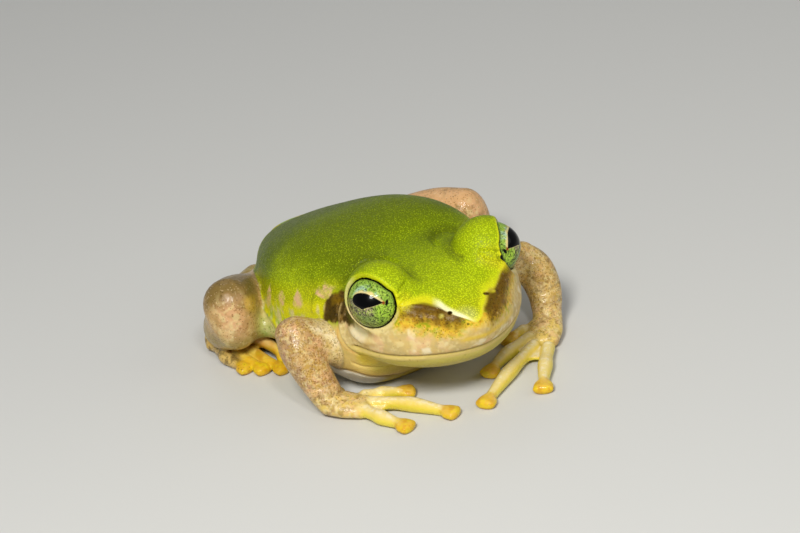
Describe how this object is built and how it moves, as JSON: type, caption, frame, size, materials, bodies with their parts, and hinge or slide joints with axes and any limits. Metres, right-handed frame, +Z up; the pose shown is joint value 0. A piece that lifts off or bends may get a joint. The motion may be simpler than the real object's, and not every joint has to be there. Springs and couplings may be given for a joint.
{
  "type": "tree frog",
  "caption": "Life-size still model of a small green tree frog crouched with its legs folded and its fingers spread, resting flat on its belly, hands and feet.",
  "frame": {"origin": "middle of the flat under the belly, on the surface that the frog rests on", "axes": "+Z up, -Y towards the snout, +X towards the frog's left side"},
  "size_m": [0.0316, 0.0403, 0.0146],
  "materials": {
    "green_skin": "moist, finely grained yellow-green skin, pale below",
    "limb_skin": "moist tan skin with fine brown and gold speckles",
    "digit_skin": "smooth, moist cream to orange-yellow skin",
    "eye": "wet, clear-fronted green and silver iris with a black pupil"
  },
  "bodies": {
    "root": {"torso": "green_skin", "head": "green_skin", "eye_right": "eye", "upper_arm_right": "limb_skin", "forearm_right": "limb_skin", "hand_right": "limb_skin", "finger_right_1": "digit_skin", "finger_right_2": "digit_skin", "finger_right_3": "digit_skin", "finger_right_4": "digit_skin", "thigh_right": "limb_skin", "shank_right": "limb_skin", "foot_right": "limb_skin", "toe_right_1": "digit_skin", "toe_right_2": "digit_skin", "toe_right_3": "digit_skin", "toe_right_4": "digit_skin", "toe_right_5": "digit_skin", "eye_left": "eye", "upper_arm_left": "limb_skin", "forearm_left": "limb_skin", "hand_left": "limb_skin", "finger_left_1": "digit_skin", "finger_left_2": "digit_skin", "finger_left_3": "digit_skin", "finger_left_4": "digit_skin", "thigh_left": "limb_skin", "shank_left": "limb_skin", "foot_left": "limb_skin", "toe_left_1": "digit_skin", "toe_left_2": "digit_skin", "toe_left_3": "digit_skin", "toe_left_4": "digit_skin", "toe_left_5": "digit_skin"}
  },
  "joints": []
}
